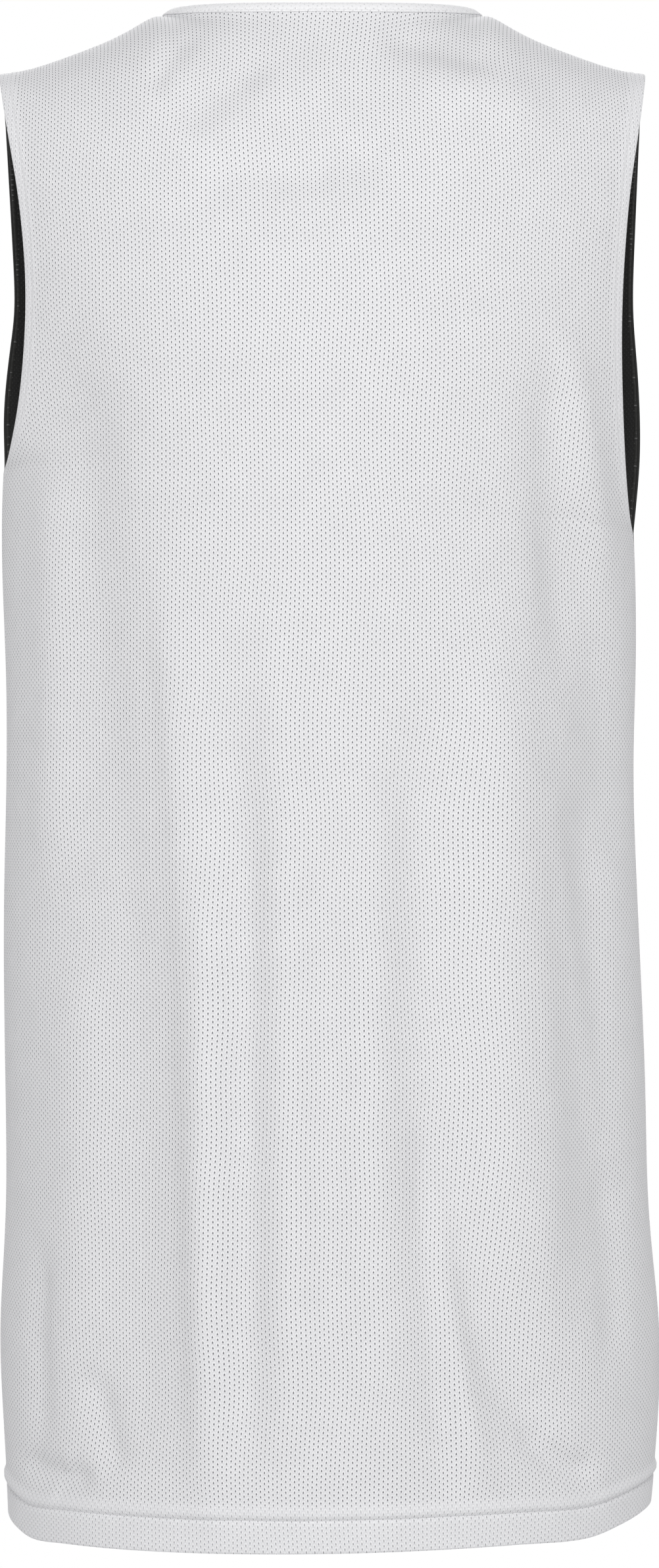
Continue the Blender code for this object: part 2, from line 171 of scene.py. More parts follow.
# In millimetres, a crease runs through three points, seen square on from behind or in front. Its two
# widths are to the wearer's left and right of that line, and a trough has a negative height.
Crease = namedtuple("Crease", "x1 z1 x2 z2 x3 z3 left right height")
BACK_CREASES = (
    # The neck's corners, and the soft arc under the neck
    Crease(64, -18, 76, -34, 86, -50, 6, 6, -2.6),
    Crease(72, -72, 50, -52, 30, -34, 18, 10, -4.2),
    Crease(30, -60, 12, -48, -6, -44, 14, 14, 2),
    Crease(-30, -21, -59, -28, -90, -38, 10, 13, -3.6),
    Crease(-46, -44, -78, -50, -112, -66, 12, 14, 2.6),
    Crease(58, -90, 12, -96, -36, -80, 12, 10, -2.6),
    # The wearer's left, from the armhole down
    Crease(130, -175, 119, -295, 111, -420, 34, 24, -7.2),
    Crease(110, -390, 95, -560, 96, -750, 45, 21, -6.6),
    Crease(79, -300, 67, -470, 59, -740, 8, 16, 3.4),
    Crease(140, -230, 138, -340, 140, -450, 10, 12, 3.4),
    Crease(126, -480, 124, -590, 128, -690, 15, 14, 3),
    Crease(141, -630, 143, -680, 141, -730, 6, 6, -3),
    Crease(118, -690, 110, -715, 104, -738, 8, 8, -3.6),
    Crease(152, -736, 136, -743, 116, -740, 6, 8, -5),
    # The middle
    Crease(56, -440, 55, -590, 55, -750, 10, 12, 5),
    Crease(38, -380, 37, -560, 38, -735, 13, 13, -6),
    Crease(20, -310, 19, -500, 16, -740, 15, 15, 4.4),
    Crease(-2, -430, -4, -570, -6, -710, 13, 13, -3.2),
    Crease(-24, -380, -26, -560, -30, -740, 16, 14, 3.8),
    Crease(-47, -360, -51, -490, -52, -640, 20, 18, -5.6),
    Crease(-51, -560, -55, -665, -63, -752, 9, 8, -3.4),
    Crease(-57, -585, -64, -665, -80, -745, 7, 8, 3.4),
    Crease(-62, -560, -80, -662, -112, -724, 15, 20, -6.6),
    # The wearer's right
    Crease(-82, -330, -86, -490, -90, -640, 17, 16, 5.6),
    Crease(-94, -340, -105, -500, -109, -665, 17, 14, 5.2),
    Crease(-113, -190, -117, -262, -121, -345, 13, 12, -5),
    Crease(-122, -176, -133, -232, -143, -292, 8, 9, 3),
    Crease(-126, -262, -139, -345, -145, -440, 18, 12, -5.6),
    Crease(-132, -400, -138, -520, -140, -660, 16, 11, -4.8),
    Crease(-112, -385, -127, -488, -145, -590, 8, 8, 1.6),
    Crease(-102, -716, -118, -733, -137, -739, 9, 7, -5.2),
    Crease(-146, -590, -148, -640, -144, -690, 8, 8, -3),
)
FRONT_CREASES = (
    Crease(122, -205, 108, -310, 96, -430, 19, 16, -5.8),
    Crease(140, -230, 136, -330, 132, -420, 12, 13, 3.6),
    Crease(60, -330, 69, -500, 76, -710, 17, 13, 6.2),
    Crease(30, -375, 36, -550, 40, -735, 14, 14, -6),
    Crease(4, -340, -2, -480, 0, -640, 16, 16, 3.8),
    Crease(-44, -295, -40, -460, -29, -630, 15, 16, -5.4),
    Crease(-80, -410, -86, -560, -96, -735, 17, 15, 6.4),
    Crease(-118, -225, -124, -350, -129, -490, 15, 13, -5.8),
    Crease(-112, -560, -117, -640, -120, -740, 14, 12, -5.2),
    Crease(106, -540, 109, -640, 104, -740, 13, 15, -5.4),
    Crease(50, -128, 70, -150, 96, -176, 13, 10, -3.4),
    Crease(-50, -126, -74, -146, -98, -176, 10, 13, -3.6),
    Crease(40, -150, 4, -162, -36, -152, 10, 10, -2),
)
CREASE_SAMPLES = 40
CREASE_REACH = 3.5  # widths within which a crease is felt
CREASE_START, CREASE_RISE = 0.33, 3.3  # how strong it is at its ends, and how soon it is full
CREASE_FADE = 0.018  # creases die out this near to a side seam or an armhole
CREASE_TOP = (0.002, 0.014)  # and between these distances from the top edge

# Cloth, turned edges and stitches
CLOTH = 0.4 * MM
EDGE_ROLL = 0.5 * MM
HEM_ROLL = 1.0 * MM
SEAM_ALLOWANCE = 5 * MM
HEM_ALLOWANCE = 22 * MM
TOP_ALLOWANCE = 2 * MM
LINING_ALLOWANCE = 12 * MM  # turned up at the inner layer's hem
BURIED = 1.2  # in roll radii: cloth at this depth is the inside of a turned edge
DOUBLED = 0.30 * MM  # how far the doubled cloth stands proud
DOUBLED_SEAM = 0.6  # share of that along a side seam, against an armhole
ARMHOLE_BAND = (7 * MM, 9 * MM)  # where the doubled cloth ends beside an armhole
LINING_BAND = (5 * MM, 7 * MM)
HEM_BAND = (21.5 * MM, 24.5 * MM)
HEM_CLOSED = 0.55  # how far the holes close in the hem's doubled cloth
LINING_HEM = 9.6 * MM  # above the outer hem
LINING_DEPTH = WALL + GAP + WALL  # of the inner layer's inner face
LINING_CLEARS = (3, 8)  # rows of the form over which it passes the top of the turned hem
TIP_ROUND = 7 * MM
TIP_CUT = 2 * MM
FACING = (0.022, 0.022, 0.021)  # the thread that overlocks the armhole's inside
FACING_SIDE = (1.2 * EDGE_ROLL, 1.6 * EDGE_ROLL)  # where it ends, from the front's armhole edge
FACING_TOP = (6 * MM, 10 * MM)  # where it starts, below the shoulder seam

# Soft lines along an edge: distance from that edge, width, and height (a dent's is negative)
Line = namedtuple("Line", "at width height")
ARMHOLE_STITCHED, HEM_STITCHED = 5, 16  # in millimetres
ARMHOLE_DENT = Line(ARMHOLE_STITCHED * MM, 0.7 * MM, -0.28 * MM)
HEM_DENT = Line(HEM_STITCHED * MM, 1.1 * MM, -1.10 * MM)
HEM_SWELL = Line(19.6 * MM, 2.3 * MM, 1.20 * MM)
HEM_CLOSED_LINE = Line(20.5 * MM, 2.2 * MM, 0.45)  # here the height is how far the holes close

# Distances from an edge, in millimetres, of the columns and rows of points that follow its turned part
ARMHOLE_COLUMNS = (1.2, 2.0, 2.8, 3.6, 4.4, 5, 5.6, 6.4, 7.4, 8.6, 10)
HEM_ROWS = (2.2, 3.6, 5, 7, 9, 11, 13, 14.2, 15, 15.5, 16, 16.5, 17)
HEM_ROWS += (17.8, 19, 20.4, 21.6, 22.6, 23.6, 24.8, 26.5)
LINING_COLUMNS = (2, 4, 6, 8)
LINING_ROWS = (2, 4, 7, 10, 14, 18)

# Columns between the two edges, and rows in the body, along the armholes, in the yoke and in its strip
Grid = namedtuple("Grid", "across up")
OUTER_GRID = Grid(128, (122, 42, 34, 8))
INNER_GRID = Grid(84, (60, 24, 20, 5))

# Rows of stitches: from one stitch to the next, the length of a stitch, and its thread's radius
Stitch = namedtuple("Stitch", "pitch length radius")
EDGE_STITCH = Stitch(3.0 * MM, 2.2 * MM, 0.16 * MM)
NECK_STITCH = Stitch(2.8 * MM, 2.0 * MM, 0.17 * MM)
NECK_STITCH_DOWN, NECK_STITCH_OUT = 4.85 * MM, 1.18 * MM  # from the neck edge and from the outer layer
PUCKER, PUCKER_WIDTH = 0.10 * MM, 1.2 * MM  # how the binding swells between its stitches
BINDING_MIDDLE = -1.25 * MM  # out from the outer layer, halfway through the binding

# The knit's cells, and the cloths made of it: colours, the hole's size in cells, how open a hole stays
# in doubled cloth, and how deep the knit is. In both meshes the colour runs from shade, the painted shade
# at a loop's foot, to thread, the painted highlight along a loop; on the binding the two are only the
# yarn's uneven tone.
HOLE_ACROSS = 2.10 * MM
HOLE_UP = 2.67 * MM
Knit = namedtuple("Knit", "name thread shade hole hole_size faint relief")
WHITE_KNIT = Knit(
    "white_mesh", (0.90, 0.90, 0.91), (0.65, 0.65, 0.665), (0.19, 0.19, 0.205), 0.148, 0.35, 0.12 * MM
)
DARK_KNIT = Knit(
    "dark_mesh", (0.034, 0.034, 0.032), (0.018, 0.018, 0.017), (0.15, 0.15, 0.15), 0.11, 0.70, 0.10 * MM
)
BINDING_KNIT = Knit(
    "binding_knit", (0.88, 0.88, 0.89), (0.80, 0.80, 0.81), (0.30, 0.30, 0.31), 0.16, 0.14, 0.08 * MM
)
THREAD_COLOUR = (0.90, 0.90, 0.91)

# Side: 1 is behind, -1 in front. Squareness shapes the sections. The turns, in degrees, say how far the
# yoke's columns bend over at the tip, at the high point and at the centre. Easing is its smoothing across,
# in passes, and straight is how far its middle leans in one line instead.
Panel = namedtuple(
    "Panel",
    "side place armhole yoke squareness creases tip_turn high_turn centre_turn easing straight",
)
BACK = Panel(1, "back", BACK_ARMHOLE, BACK_YOKE, 1.90, BACK_CREASES, 105, 105, 58, 60, 1.0)
FRONT = Panel(-1, "front", FRONT_ARMHOLE, FRONT_YOKE, 2.05, FRONT_CREASES, 85, 75, 20, 0, 0.0)


# ---------------- the form


def column(table, name):
    """One named column of a table."""
    return np.array([getattr(row, name) for row in table], float)


def smooth(at, knots, values):
    """A cubic curve through the values at the knots, each slope taken from the knots beside it."""
    slopes = np.gradient(values, knots)
    i = np.clip(np.searchsorted(knots, at) - 1, 0, len(knots) - 2)
    span = knots[i + 1] - knots[i]
    t = (at - knots[i]) / span
    return (
        (2 * t**3 - 3 * t**2 + 1) * values[i]
        + (t**3 - 2 * t**2 + t) * span * slopes[i]
        + (3 * t**2 - 2 * t**3) * values[i + 1]
        + (t**3 - t**2) * span * slopes[i + 1]
    )


def section(height, name):
    """A half width or a depth of the tube at a height."""
    return smooth(height, column(SECTIONS, "height"), column(SECTIONS, name))


def spread(curve, count):
    """The points that divide a curve into equal lengths."""
    steps = np.linalg.norm(np.diff(curve, axis=0), axis=1)
    length = np.concatenate([[0], np.cumsum(steps)])
    at = np.linspace(0, length[-1], count + 1)
    return np.stack([np.interp(at, length, curve[:, axis]) for axis in range(3)], axis=1)


def across(panel, left, right, heights):
    """One row of the tube, from an edge point (half width, depth) on the left to one on the right."""
    n = panel.squareness
    depth = section(heights(0.5), panel.place)
    edges = []
    for half_width, edge_depth in (left, right):
        sine = edge_depth / depth
        cosine = (1 - sine**n) ** (1 / n)
        edges.append((math.atan2(sine ** (n / 2), cosine ** (n / 2)), half_width / cosine))
    (left_angle, left_width), (right_angle, right_width) = edges
    angle = np.linspace(left_angle, math.pi - right_angle, ACROSS * ROW_SAMPLES)
    around = (angle - angle[0]) / (angle[-1] - angle[0])
    cosine = np.cos(angle)
    x = np.abs(cosine) ** (2 / n) * np.where(cosine > 0, left_width, -right_width)
    y = panel.side * depth * np.sin(angle) ** (2 / n)
    return spread(np.stack([x, y, heights(around)], axis=1), ACROSS)


def underarm(around):
    """The line across the panel at the level of the two underarm points."""
    share = around * around * (3 - 2 * around)
    return UNDERARM_LEFT + (UNDERARM_RIGHT - UNDERARM_LEFT) * share


def body_rows(panel):
    """Rows from the hem up to the underarms."""
    around, hem = column(HEMS, "around"), column(HEMS, panel.place)
    rows = []
    for up in np.linspace(0, 1, BODY_STEPS + 1):

        def heights(at, up=up):
            return smooth(at, around, hem) * (1 - up) + underarm(at) * up

        left = (section(heights(0.0), "left"), GAP / 2)
        right = (section(heights(1.0), "right"), GAP / 2)
        rows.append(across(panel, left, right, heights))
    return rows


def armhole_rows(panel):
    """Rows from above the underarms up to the yoke, between the armhole edges."""
    knots = np.arange(len(panel.armhole), dtype=float)
    rows = []
    for at_knot in np.linspace(0, knots[-1], ARMHOLE_STEPS + 1)[1:]:
        rise, left, right, depth = (
            smooth(at_knot, knots, column(panel.armhole, name)) for name in Armhole._fields
        )

        def heights(at, rise=rise):
            return underarm(at) * (1 - rise) + panel.yoke * rise

        rows.append(across(panel, (left, depth), (right, depth), heights))
    return rows


def shoulder_edge(panel, share):
    """The shoulder seam, from the tip (0) to the high point (1), and the line a strip's width below it."""
    ridge = smooth(share, column(RIDGES, "share"), column(RIDGES, "height"))
    x = TIP_X + (HIGH_X - TIP_X) * share
    y = TIP_Y + (HIGH_Y - TIP_Y) * share + panel.side * GAP / 2
    seam = np.stack([x, y, BACK_YOKE + (ridge - BACK_YOKE) * math.cos(SEAM_SLOPE)], axis=1)
    straight = panel.side * np.array([0, math.cos(SEAM_SLOPE), math.sin(SEAM_SLOPE)])
    outward = np.outer(share, [HIGH_OUT, 0, -HIGH_DOWN])
    return seam, seam + STRIP * (straight + outward)


def neck_edge(panel, angle):
    """The neck edge, from the high point (angle 0) to the centre, and the line a strip's width from it."""
    side = panel.side
    cosine, sine = np.cos(angle), np.sin(angle)
    seam_z = BACK_YOKE + (HIGH_RIDGE - BACK_YOKE) * math.cos(SEAM_SLOPE)
    if side > 0:
        dip = (HIGH_RIDGE - seam_z) * np.clip(1 - sine / NECK_DIP, 0, 1) ** 2
        y = HIGH_Y + (NECK_BACK_Y - HIGH_Y) * sine
        z = HIGH_RIDGE - NECK_BACK_DROP * sine**2 - dip
        out_y, out_z = NECK_BACK_OUT * sine, -NECK_BACK_DOWN * sine
    else:
        y = HIGH_Y + (NECK_FRONT_Y - HIGH_Y) * (1 - (1 - sine) ** NECK_FRONT_FULLNESS)
        z = seam_z - NECK_FRONT_DEPTH * sine
        out_y, out_z = -NECK_FRONT_OUT * sine, -NECK_FRONT_DOWN * sine
    edge = np.stack([HIGH_X * cosine, y + side * GAP / 2 * (1 - sine), z], axis=1)
    mitre = np.clip(1 - angle / MITRE, 0, 1) ** 2
    out_y += side * math.cos(SEAM_SLOPE) * mitre
    out_z += side * math.sin(SEAM_SLOPE) * mitre - HIGH_DOWN * cosine
    return edge, edge + STRIP * np.stack([HIGH_OUT * cosine, out_y, out_z], axis=1)


def top_boundary(panel):
    """The top edge from the left tip to the right one, the line below it, and the turns of its columns."""
    shoulder = np.linspace(0, 1, SHOULDER_STEPS + 1)
    seam, seam_inset = shoulder_edge(panel, shoulder)
    half = NECK_STEPS // 2
    dense = np.linspace(0, math.pi / 2, 400)
    edge = neck_edge(panel, dense)[0]
    length = np.concatenate([[0], np.cumsum(np.linalg.norm(np.diff(edge, axis=0), axis=1))])
    angle = np.interp(np.linspace(0, length[-1], half + 1), length, dense)
    neck, neck_inset = neck_edge(panel, angle)
    to_centre = np.linspace(1, 0, half + 1)
    tip_turns = panel.tip_turn + (panel.high_turn - panel.tip_turn) * shoulder
    neck_turns = panel.centre_turn + (panel.high_turn - panel.centre_turn) * to_centre[1:] ** 2
    turns = np.concatenate([tip_turns, neck_turns])
    lines = []
    for on_shoulder, on_neck in ((seam, neck), (seam_inset, neck_inset)):
        line = np.concatenate([on_shoulder, on_neck[1:]])
        lines.append(np.concatenate([line, line[-2::-1] * [-1, 1, 1]]))
    return *lines, np.radians(np.concatenate([turns, turns[-2::-1]]))


def yoke_rows(panel, below, base):
    """Rows that lean over from the yoke line to the top edge, then the strip along that edge."""
    edge, inset, turns = top_boundary(panel)
    rise, whole = base - below, inset - base
    in_line = np.clip(rise[:, 1] / rise[:, 2] * whole[:, 2] / whole[:, 1], 0, 1)
    straight = panel.straight * in_line * np.clip(1 - (inset[:, 0] / HIGH_X) ** 2, 0, 1)
    rows = []
    for share in np.linspace(0, 1, YOKE_STEPS + 1)[1:]:
        lift = np.sin(turns * share) / np.sin(turns)
        lean = (1 - np.cos(turns * share)) / (1 - np.cos(turns))
        lean += (lift - lean) * straight
        inward = np.sin(np.minimum(turns * share, math.pi / 2)) / np.sin(np.minimum(turns, math.pi / 2))
        rows.append(base + whole * np.stack([inward, lean, lift], axis=1))
    for share in np.linspace(0, 1, STRIP_STEPS + 1)[1:]:
        rows.append(inset + (edge - inset) * share)
    return rows


def normals_of(points, side):
    """Outward unit normals of a grid of rows of points."""
    along = np.gradient(points, axis=1, edge_order=2)
    up = np.gradient(points, axis=0, edge_order=2)
    normals = np.cross(along, up) * side
    return normals / np.linalg.norm(normals, axis=2, keepdims=True)


def settle(points, node):
    """Fits the form's box to the CAD node's, so that it follows the frame."""
    low, high = (np.array(corner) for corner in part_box(node))
    own_low, own_high = points.min((0, 1)), points.max((0, 1))
    return low + (points - own_low) * (high - low) / (own_high - own_low)


def cloth_map(points):
    """How far each point of the form lies across and up the cloth, in metres, from its centre line."""
    steps = np.diff(points, axis=1)
    level = np.hypot(steps[..., 0], steps[..., 1])
    u = np.concatenate([np.zeros((len(points), 1)), np.cumsum(level, axis=1)], axis=1)
    v = points[..., 2].copy()
    for r in range(ARMHOLE_TOP + 1):
        u[r] -= np.interp(0, points[r, ::-1, 0], u[r, ::-1])
    base_x, base_u = points[ARMHOLE_TOP, ::-1, 0], u[ARMHOLE_TOP, ::-1]
    for r in range(ARMHOLE_TOP + 1, len(points)):
        x = points[r, :, 0]
        beyond = x - np.clip(x, base_x[0], base_x[-1])
        u[r] = np.interp(x, base_x, base_u) - beyond
        rise = np.linalg.norm(points[r] - points[r - 1], axis=1)
        upward = np.maximum(rise**2 - (u[r] - u[r - 1]) ** 2, (LEAST_RISE * rise) ** 2)
        v[r] = v[r - 1] + np.sqrt(upward)
    return np.stack([u, v], axis=2)


def form_of(panel):
    """The panel's smooth outer surface: its points, normals and cloth map, as one grid."""
    rows = body_rows(panel) + armhole_rows(panel)
    points = np.array(rows + yoke_rows(panel, rows[-2], rows[-1]))
    low, high = 2, YOKE_TOP
    for _ in range(SMOOTHING):
        middle = points[low:high]
        points[low:high] = (points[low - 1 : high - 1] + 2 * middle + points[low + 1 : high + 1]) / 4
    yoke = ARMHOLE_TOP + 1
    share = np.clip(np.linspace(0, EASING_RAMP, high - yoke), 0, 1)[:, None, None]
    for _ in range(panel.easing):
        middle = points[yoke:high, 1:-1]
        even = (points[yoke:high, :-2] + 2 * middle + points[yoke:high, 2:]) / 4
        points[yoke:high, 1:-1] = middle + (even - middle) * share
    points = settle(points, f"{panel.place}_panel")
    normals = normals_of(points, panel.side)
    for edge in (0, -1):
        normals[: BODY_TOP + 1, edge, 1] = 0
    forward = np.array([0, -math.cos(SEAM_SLOPE), -math.sin(SEAM_SLOPE)])
    seam = (points[-1, SHOULDER_STEPS] - points[-1, 0]) * [1, 0, 1]
    upward = np.cross(forward, seam)
    normals[-1, : SHOULDER_STEPS + 1] = upward * np.sign(upward[2])
    normals[-1, -SHOULDER_STEPS - 1 :] = upward * np.sign(upward[2]) * [-1, 1, 1]
    normals /= np.linalg.norm(normals, axis=2, keepdims=True)
    return np.concatenate([points, normals, cloth_map(points)], axis=2)


# ---------------- sheets laid out on the form


def rolled(radius, flap, flap_steps, roll_steps):
    """An edge turned under: (distance from the edge, depth) from the end of its flap to its outside."""
    path = [(radius + flap * (1 - i / flap_steps), 2 * radius) for i in range(flap_steps)]
    for angle in np.linspace(math.pi, 0, roll_steps + 1):
        path.append((radius - radius * math.sin(angle), radius * (1 - math.cos(angle))))
    return path


def sample(grid, at):
    """A grid at places between its rows, on a smooth curve through them."""
    i = np.clip(np.floor(at).astype(int), 0, len(grid) - 2)
    t = (at - i).reshape(-1, *[1] * (grid.ndim - 1))
    low, high = grid[i], grid[i + 1]
    first, last = (i == 0).reshape(t.shape), (i == len(grid) - 2).reshape(t.shape)
    before = np.where(first, 2 * low - high, grid[np.maximum(i - 1, 0)])
    after = np.where(last, 2 * high - low, grid[np.minimum(i + 2, len(grid) - 1)])
    bend = 2 * before - 5 * low + 4 * high - after
    twist = 3 * (low - high) + after - before
    return low + 0.5 * t * (high - before + t * (bend + t * twist))


def crease_heights(creases, x, z):
    """How far the creases lift each point off the smooth form."""
    total = np.zeros_like(x)
    for row in creases:
        crease = Crease(*(value * MM for value in row))
        ends = np.array([[crease.x1, crease.z1], [crease.x2, crease.z2], [crease.x3, crease.z3]])
        t = np.linspace(0, 1, CREASE_SAMPLES)[:, None]
        line = ends[0] * (1 - t) * (1 - 2 * t) + ends[1] * 4 * t * (1 - t) + ends[2] * t * (2 * t - 1)
        tangent = np.gradient(line, axis=0)
        tangent /= np.linalg.norm(tangent, axis=1, keepdims=True)
        reach = CREASE_REACH * max(crease.left, crease.right)
        near = (x > line[:, 0].min() - reach) & (x < line[:, 0].max() + reach)
        near &= (z > line[:, 1].min() - reach) & (z < line[:, 1].max() + reach)
        offset = np.stack([x[near], z[near]], axis=1)[:, None] - line
        nearest = np.argmin((offset**2).sum(axis=2), axis=1)
        offset, heading = offset[np.arange(len(nearest)), nearest], tangent[nearest]
        aside = offset[:, 0] * heading[:, 1] - offset[:, 1] * heading[:, 0]
        left = aside * np.sign(-heading[:, 1]) < 0
        step = np.linalg.norm(line[1] - line[0])
        along = (nearest + (offset * heading).sum(axis=1) / step) / (CREASE_SAMPLES - 1)
        fade = np.clip(CREASE_START + CREASE_RISE * np.minimum(along, 1 - along), 0, 1)
        width = np.where(left, crease.left, crease.right)
        total[near] += crease.height * np.exp(-((aside / width) ** 2)) * fade**2 * (3 - 2 * fade)
    return total


def step_up(value, start, end):
    """0 before start and 1 after end, with a soft step between."""
    t = np.clip((value - start) / (end - start), 0, 1)
    return t * t * (3 - 2 * t)


def soft_line(value, line):
    """The height of a soft line at each distance from its edge."""
    return line.height * np.exp(-(((value - line.at) / line.width) ** 2))


def in_scene(name, data):
    """A new object of that data, in the scene."""
    obj = bpy.data.objects.new(name, data)
    bpy.context.scene.collection.objects.link(obj)
    return obj


def mesh_object(name, points, faces, material, cloth=()):
    """A smooth mesh in the scene, with the place on the cloth of each corner of its faces."""
    mesh = bpy.data.meshes.new(name)
    mesh.from_pydata([tuple(point) for point in points], [], faces)
    mesh.shade_smooth()
    if len(cloth):
        layer = mesh.uv_layers.new(name="cloth")
        layer.uv.foreach_set("vector", np.array(cloth, np.float32).ravel())
    mesh.materials.append(material)
    return in_scene(name, mesh)


# A laid sheet: its points, normals and cloth map; distances to its sides, hem and top; the form's row of
# each of its rows; how far it is lifted off the form; and which columns are the buried part of an edge
Laid = namedtuple("Laid", "points normals cloth from_side above_hem below_top rows_at lift buried")


def lay(panel, form, edge, hem, top, cells, depth_of):
    """A sheet on the form, with how far each of its points is from the edges.

    edge, hem and top are profiles of (distance from the CAD's edge, depth) that start or end with what is
    turned under. cells is a Grid, and depth_of says how deep the sheet lies at each row.
    """
    row_step = np.linalg.norm(form[1, ACROSS // 2, :3] - form[0, ACROSS // 2, :3])
    strip_step = STRIP / STRIP_STEPS
    rows_at = [distance / row_step for distance, _ in hem]
    row_depth = [depth for _, depth in hem]
    start, last = rows_at[-1], TOP - top[0][0] / strip_step
    for zone_end, count in zip((BODY_TOP, ARMHOLE_TOP, YOKE_TOP, last), cells.up):
        rows_at += list(np.linspace(start, zone_end, count + 1)[1:])
        row_depth += [0.0] * count
        start = zone_end
    rows_at = np.array(rows_at + [TOP - distance / strip_step for distance, _ in top[1:]])
    row_depth = np.array(row_depth + [depth for _, depth in top[1:]])
    rows = sample(form, rows_at)
    spacing = np.linalg.norm(rows[:, [1, -1], :3] - rows[:, [0, -2], :3], axis=2)
    distance = np.array([d for d, _ in edge])
    left = distance[None] / spacing[:, :1]
    right = ACROSS - distance[None, ::-1] / spacing[:, 1:]
    share = np.linspace(0, 1, cells.across + 1)[1:-1]
    between = left[:, -1:] + (right[:, :1] - left[:, -1:]) * share
    columns_at = np.concatenate([left, between, right], axis=1)
    edge_depth = np.array([d for _, d in edge])
    column_depth = np.concatenate([edge_depth, np.zeros(len(share)), edge_depth[::-1]])
    grid = np.stack([sample(row, at) for row, at in zip(rows, columns_at)])
    points, normals, cloth = grid[..., :3], grid[..., 3:6], grid[..., 6:]
    normals = normals / np.linalg.norm(normals, axis=2, keepdims=True)

    from_side = np.minimum(columns_at * spacing[:, :1], (ACROSS - columns_at) * spacing[:, 1:])
    above_hem = (rows_at * row_step)[:, None] + 0 * from_side
    below_top = ((TOP - rows_at) * strip_step)[:, None] + 0 * from_side
    lift = crease_heights(panel.creases, points[..., 0], points[..., 2])
    lift *= 1 - np.exp(-((from_side / CREASE_FADE) ** 2))
    lift *= step_up(below_top, *CREASE_TOP)
    lift -= depth_of(rows_at)[:, None] + row_depth[:, None] + column_depth[None]
    # The shoulder's tip is a round corner.
    corner = (1 - step_up(below_top, 0, TIP_ROUND)) * np.exp(-from_side / (2 * TIP_ROUND))
    points[..., 0] -= TIP_CUT * corner * np.sign(points[..., 0])
    buried = (column_depth[None] > EDGE_ROLL * BURIED) + 0.0 * from_side
    return Laid(points, normals, cloth, from_side, above_hem, below_top, rows_at, lift, buried)


def sheet_object(name, points, cloth, turned, side, material, faced=None):
    """A thin shell of cloth from a grid of points, with its cloth map and its doubled stretches."""
    rows, columns = points.shape[:2]
    index = np.arange(rows * columns).reshape(rows, columns)
    quads = np.stack([index[:-1, :-1], index[:-1, 1:], index[1:, 1:], index[1:, :-1]], axis=2)
    quads = quads.reshape(-1, 4)
    if side > 0:
        quads = quads[:, ::-1]
    corners = cloth.reshape(-1, 2)[quads]
    obj = mesh_object(name, points.reshape(-1, 3).tolist(), quads.tolist(), material, corners)
    for attribute, values in (("turned", turned), ("faced", faced)):
        if values is not None:
            data = obj.data.attributes.new(attribute, "FLOAT", "POINT").data
            data.foreach_set("value", values.astype(np.float32).ravel())
    shell = obj.modifiers.new("cloth", "SOLIDIFY")
    shell.thickness = CLOTH
    shell.offset = -1
    return obj


def meeting(profile):
    """A profile moved out to meet the piece on the other side of the seam."""
    return [(distance - GAP * 2 / 3, depth) for distance, depth in profile]


def in_metres(distances, start=0.0):
    """Points on the outside of the cloth at these distances from an edge, in millimetres."""
    return [(start + distance * MM, 0.0) for distance in distances]


def above_underarm(laid):
    """0 along the side seams and 1 along the armholes."""
    return step_up(laid.rows_at, BODY_TOP - 1, BODY_TOP + 3)[:, None]


def outer_sheet(panel, form, material):
    """The white outer layer: turned hem, turned armhole edges, side seams and shoulder seams."""
    turned_edge = rolled(EDGE_ROLL, SEAM_ALLOWANCE, 3, 4)
    turned_hem = rolled(HEM_ROLL, HEM_ALLOWANCE - HEM_ROLL, 5, 6)
    edge = turned_edge + in_metres(ARMHOLE_COLUMNS)
    hem = turned_hem + in_metres(HEM_ROWS)
    top = rolled(EDGE_ROLL, TOP_ALLOWANCE, 2, 4)[::-1]
    laid = lay(panel, form, meeting(edge), hem, meeting(top), OUTER_GRID, np.zeros_like)
    armhole = above_underarm(laid)
    edge_band = 1 - step_up(laid.from_side, *ARMHOLE_BAND)
    hem_band = 1 - step_up(laid.above_hem, *HEM_BAND)
    along_edge = edge_band * (DOUBLED_SEAM + (1 - DOUBLED_SEAM) * armhole)
    relief = DOUBLED * np.maximum(along_edge, hem_band)
    relief += soft_line(laid.from_side, ARMHOLE_DENT) * armhole
    relief += soft_line(laid.above_hem, HEM_DENT) + soft_line(laid.above_hem, HEM_SWELL)
    surface = laid.points + laid.normals * (laid.lift + relief)[..., None]
    closed_hem = hem_band * HEM_CLOSED + soft_line(laid.above_hem, HEM_CLOSED_LINE)
    turned = np.maximum(edge_band * armhole, closed_hem)
    rolled_under = laid.buried if panel.side > 0 else 1 - step_up(laid.from_side, *FACING_SIDE)
    faced = rolled_under * armhole * step_up(laid.below_top, *FACING_TOP)
    obj = sheet_object(f"{panel.place}_outer", surface, laid.cloth, turned, panel.side, material, faced)

    rows, columns = surface.shape[:2]
    outside = slice(len(turned_edge), columns - len(turned_edge))
    hem_row = len(turned_hem) + HEM_ROWS.index(HEM_STITCHED)
    side_column = len(turned_edge) + ARMHOLE_COLUMNS.index(ARMHOLE_STITCHED)
    up = slice(int(np.searchsorted(laid.rows_at, BODY_TOP)), rows - len(top))
    hem_line = (surface[hem_row, outside], laid.normals[hem_row, outside])
    edge_lines = [
        (surface[up, column_at], laid.normals[up, column_at]) for column_at in (side_column, -1 - side_column)
    ]
    return obj, hem_line, edge_lines


